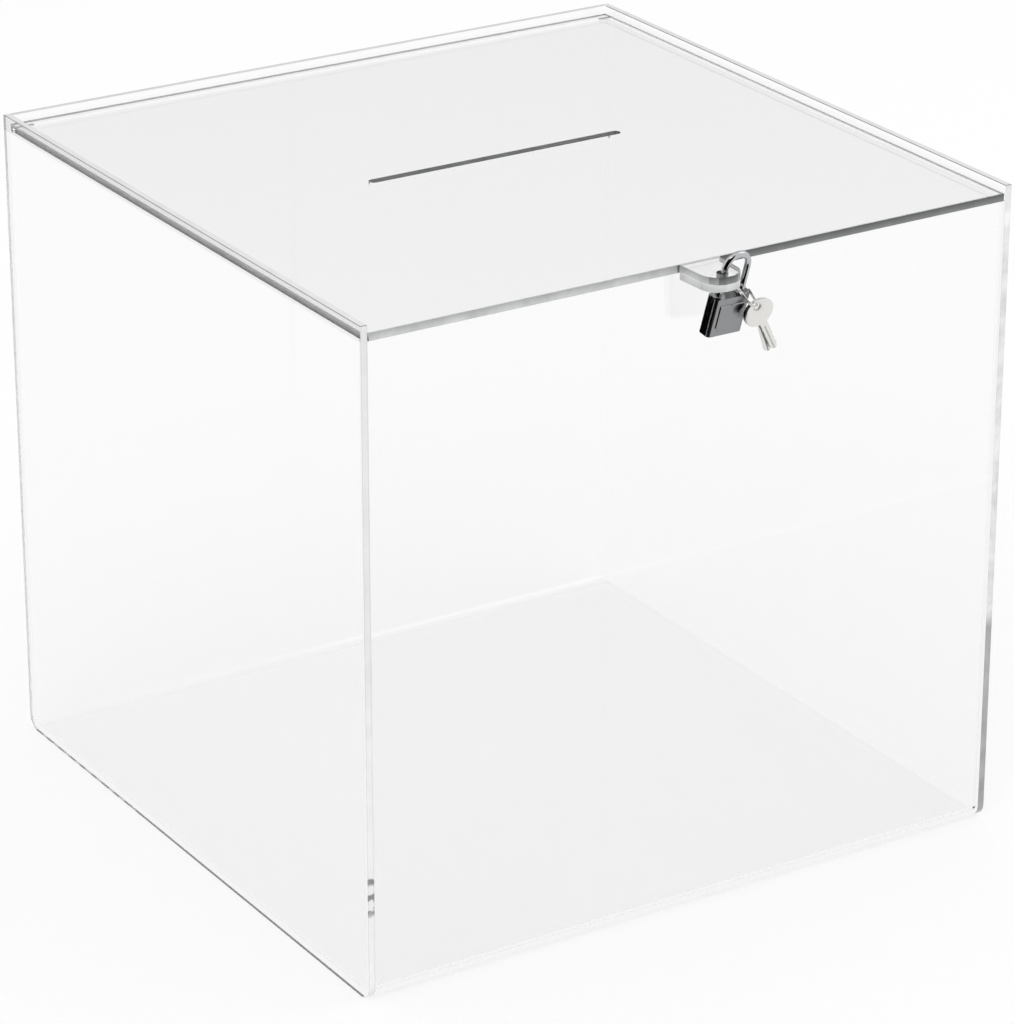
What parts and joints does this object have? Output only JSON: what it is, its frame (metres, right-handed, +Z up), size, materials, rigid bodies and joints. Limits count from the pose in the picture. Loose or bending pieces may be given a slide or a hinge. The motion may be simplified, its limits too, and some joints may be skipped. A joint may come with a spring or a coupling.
{
  "type": "ballot box",
  "caption": "Clear acrylic ballot box with a slotted hinged lid set between taller side panels, locked by a small padlock through a pair of front tabs, with keys on a split ring.",
  "frame": {"origin": "centre of the underside of the base, on the surface the box stands on", "axes": "+Z up, -Y out of the front wall with the tabs and the padlock, +X to the right as seen from the front"},
  "size_m": [0.4, 0.4175, 0.381],
  "materials": {
    "clear_acrylic": "polished clear sheet",
    "plated_case": "bright plating, darkened by its surroundings",
    "shackle_steel": "polished plating",
    "pin_steel": "plain steel",
    "plug_brass": "turned brass",
    "spring_steel": "drawn spring wire",
    "ring_steel": "plated spring wire",
    "key_nickel": "nickel plated sheet"
  },
  "bodies": {
    "box": {"body_shell": "clear_acrylic", "left_panel": "clear_acrylic", "right_panel": "clear_acrylic", "lock_tab": "clear_acrylic", "left_hinge_pin": "pin_steel", "right_hinge_pin": "pin_steel"},
    "lid": {"lid": "clear_acrylic"},
    "padlock": {"padlock_case": "plated_case", "case_cap": "plated_case", "driver_pins": "plug_brass", "chamber_plugs": "plated_case", "pin_springs": "spring_steel", "plug_clip": "pin_steel", "shackle_retainer": "pin_steel", "shackle_spring": "spring_steel"},
    "shackle": {"shackle": "shackle_steel"},
    "plug": {"lock_plug": "plug_brass", "key_pins": "plug_brass"},
    "bolt": {"locking_bolt": "pin_steel"},
    "ring": {"key_ring": "ring_steel"},
    "key_1": {"key_1": "key_nickel"},
    "key_2": {"key_2": "key_nickel"}
  },
  "joints": [
    {"name": "lid_hinge", "type": "hinge", "parent": "box", "child": "lid", "pos_m": [0, 0.1845, 0.3685], "axis": [-1, 0, 0], "range_deg": [0, 120]},
    {"name": "padlock_off", "type": "slide", "parent": "box", "child": "padlock", "axis": [0, -1, 0], "range_m": [0, 0.15]},
    {"name": "shackle_lift", "type": "slide", "parent": "padlock", "child": "shackle", "axis": [0.0883, -0.2329, 0.9685], "range_m": [0, 0.008]},
    {"name": "plug_turn", "type": "hinge", "parent": "padlock", "child": "plug", "pos_m": [0.00572, -0.20953, 0.34511], "axis": [0.0883, -0.2329, 0.9685], "range_deg": [0, 90]},
    {"name": "bolt_slide", "type": "slide", "parent": "padlock", "child": "bolt", "axis": [-0.9907, -0.1216, 0.061], "range_m": [0, 0.0013]},
    {"name": "ring_swing", "type": "hinge", "parent": "shackle", "child": "ring", "pos_m": [0.01456, -0.21179, 0.35791], "axis": [0.0883, -0.2329, 0.9685], "range_deg": [-12, 12]},
    {"name": "key_1_swing", "type": "hinge", "parent": "ring", "child": "key_1", "pos_m": [0.01997, -0.21735, 0.3489], "axis": [0, 1, 0], "range_deg": [-10, 25]},
    {"name": "key_2_swing", "type": "hinge", "parent": "ring", "child": "key_2", "pos_m": [0.02142, -0.21543, 0.3489], "axis": [0, 1, 0], "range_deg": [-10, 25]}
  ],
  "couplings": [
    {"joint": "bolt_slide", "follows": "plug_turn", "m_per_rad": 0.000827}
  ]
}
